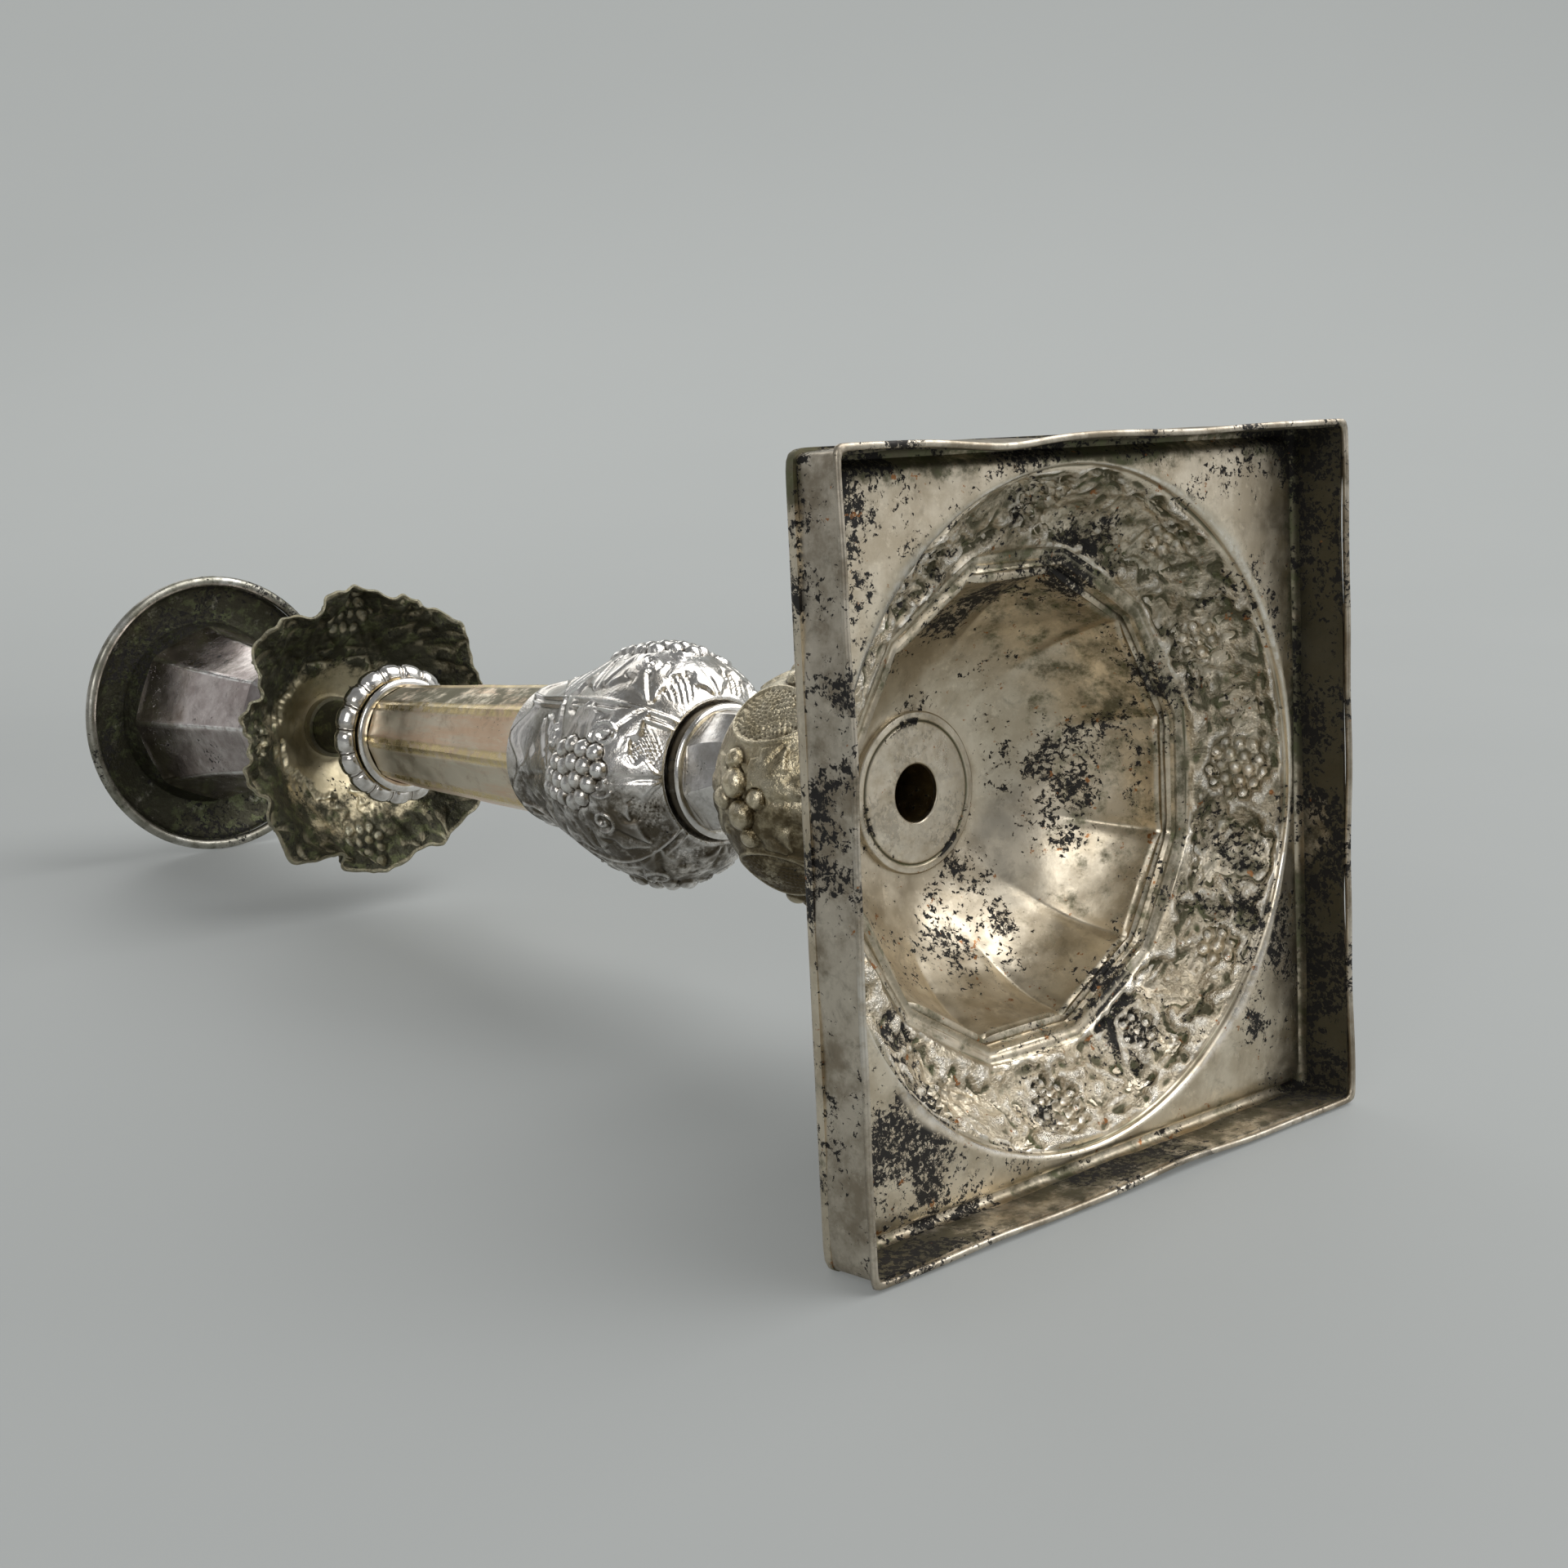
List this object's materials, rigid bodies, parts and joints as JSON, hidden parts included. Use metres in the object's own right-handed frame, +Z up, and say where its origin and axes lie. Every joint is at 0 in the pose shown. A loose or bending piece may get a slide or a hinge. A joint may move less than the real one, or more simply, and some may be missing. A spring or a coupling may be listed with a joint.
{
  "type": "candlestick",
  "caption": "Hollow stamped candlestick: square footed base, panelled dome, baluster stem, faceted shaft, lift-off leafy drip pan, faceted candle cup and loose nozzle.",
  "frame": {"origin": "middle of the base's open lower edge, on the surface it stands on", "axes": "+Z up along the stem; X and Y along the base's sides"},
  "size_m": [0.14, 0.14, 0.356],
  "materials": {
    "base_silver": "satin",
    "tarnished_silver": "satin",
    "gilded_silver": "satin",
    "bright_silver": "gloss",
    "worn_silver": "satin",
    "cup_silver": "satin",
    "nozzle_silver": "satin",
    "black_patina": "matte",
    "bare_brass": "satin"
  },
  "bodies": {
    "stand": {"base_plate": "base_silver", "base_skirt": "tarnished_silver", "base_edge_strip": "tarnished_silver", "base_dome": "base_silver", "dome_disc": "base_silver", "stem_tube": "bare_brass", "neck_ring": "gilded_silver", "knop": "gilded_silver", "collar": "bright_silver", "collar_bead": "bright_silver", "vase": "bright_silver", "shaft": "worn_silver", "shaft_bead": "bright_silver", "shaft_cap": "bare_brass", "gadroon_ring": "bright_silver", "neck_spool": "black_patina"},
    "drip_pan": {"drip_pan": "black_patina", "pan_collar": "black_patina"},
    "candle_cup": {"cup_foot": "cup_silver", "cup_spigot": "bare_brass", "cup_bottom": "cup_silver", "cup_body": "cup_silver", "cup_liner": "bare_brass"},
    "nozzle": {"socket_tube": "cup_silver", "nozzle_brim": "nozzle_silver", "brim_rim": "nozzle_silver"}
  },
  "joints": [
    {"name": "pan_lift", "type": "slide", "parent": "stand", "child": "drip_pan", "axis": [0, 0, 1], "range_m": [0, 0.035]},
    {"name": "cup_lift", "type": "slide", "parent": "drip_pan", "child": "candle_cup", "axis": [0, 0, 1], "range_m": [0, 0.035]},
    {"name": "nozzle_lift", "type": "slide", "parent": "candle_cup", "child": "nozzle", "axis": [0, 0, 1], "range_m": [0, 0.035]}
  ]
}
